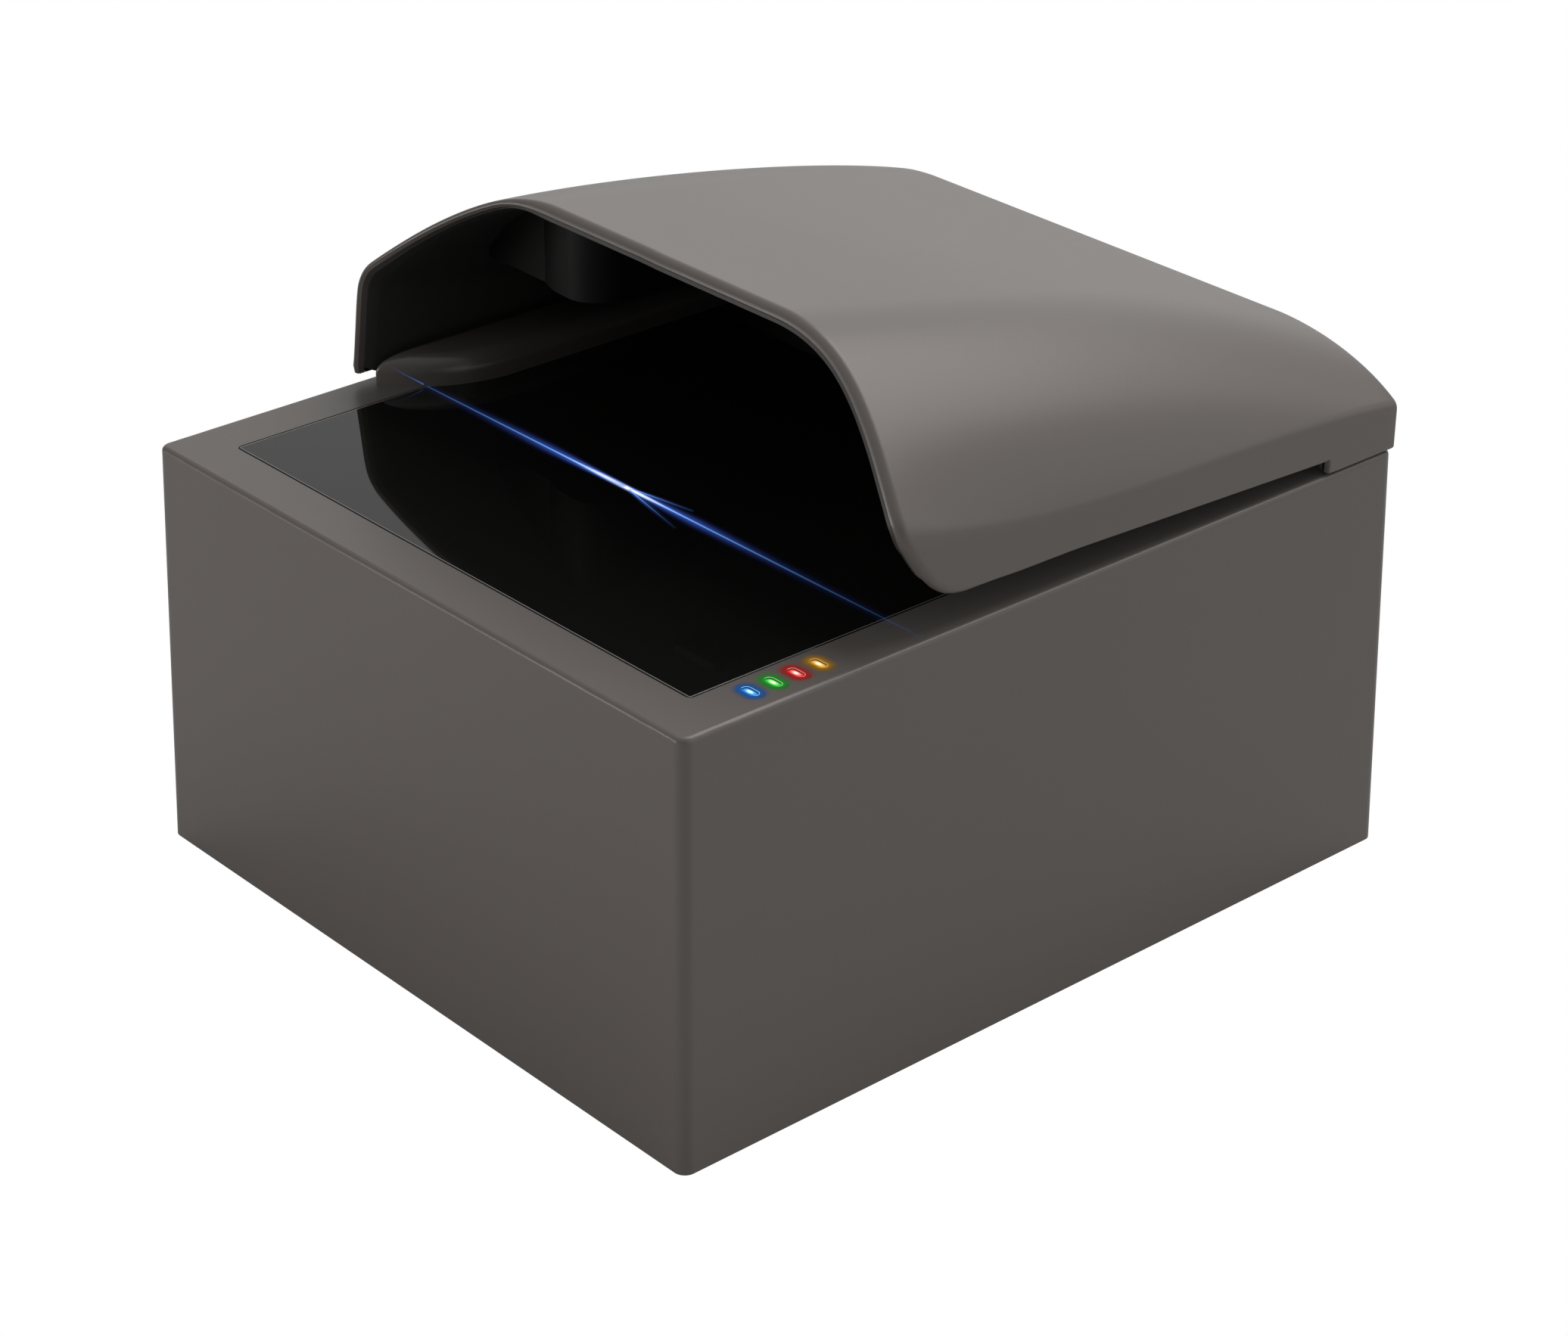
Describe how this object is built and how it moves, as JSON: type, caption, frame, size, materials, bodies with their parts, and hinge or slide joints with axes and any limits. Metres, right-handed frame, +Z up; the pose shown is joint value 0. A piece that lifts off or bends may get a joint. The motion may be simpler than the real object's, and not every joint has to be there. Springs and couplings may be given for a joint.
{
  "type": "travel document scanner",
  "caption": "Desktop scanner for passports and identity cards: a drafted box with a dark reading window, status lamps and an arched hood hinged at the rear",
  "frame": {"origin": "centre of the bounding box's underside, on the plane the rubber feet stand on", "axes": "+X to the right of the person facing the front, +Y from the front to the rear where the hood is hinged, +Z up"},
  "size_m": [0.1696, 0.1938, 0.1426],
  "materials": {
    "case": "satin, fine mould texture",
    "black_plastic": "matt",
    "guide": "satin black",
    "liner": "matt black",
    "block": "satin black",
    "black_metal": "satin black",
    "rubber": "matt",
    "window": "polished, dark",
    "lamp_blue": "polished, lit",
    "lamp_green": "polished, lit",
    "lamp_red": "polished, lit",
    "lamp_amber": "polished, lit",
    "board": "lacquered",
    "diffuser": "frosted",
    "optic": "polished",
    "steel": "plain",
    "socket_metal": "bright",
    "cable": "smooth"
  },
  "bodies": {
    "housing": {"housing_shell": "case", "base_plate": "black_plastic", "base_screws": "steel", "rubber_feet": "rubber", "platen_gasket": "rubber", "platen_glass": "window", "document_guide": "guide", "lamp_lens_blue": "lamp_blue", "lamp_lens_green": "lamp_green", "lamp_lens_red": "lamp_red", "lamp_lens_amber": "lamp_amber", "lamp_baffle": "black_plastic", "indicator_board": "board", "indicator_screws": "steel", "antenna_board": "board", "optical_chassis": "black_plastic", "chassis_screws": "steel", "illumination_board_left": "board", "illumination_board_right": "board", "diffuser_left": "diffuser", "diffuser_right": "diffuser", "camera_board": "board", "camera_screws": "steel", "lens_holder": "black_plastic", "lens_barrel": "black_metal", "lens_element": "optic", "main_board": "board", "board_screws": "steel", "camera_cable": "cable", "usb_socket": "socket_metal", "power_socket": "black_plastic", "hinge_pins": "steel"},
    "hood": {"hood_shell": "case", "hood_liner": "liner", "hood_insert": "block", "line_projector": "black_plastic", "projector_lens": "optic"}
  },
  "joints": [
    {"name": "hood_hinge", "type": "hinge", "parent": "housing", "child": "hood", "pos_m": [0, 0.0936, 0.08966], "axis": [-1, 0, 0], "range_deg": [0, 95]}
  ]
}
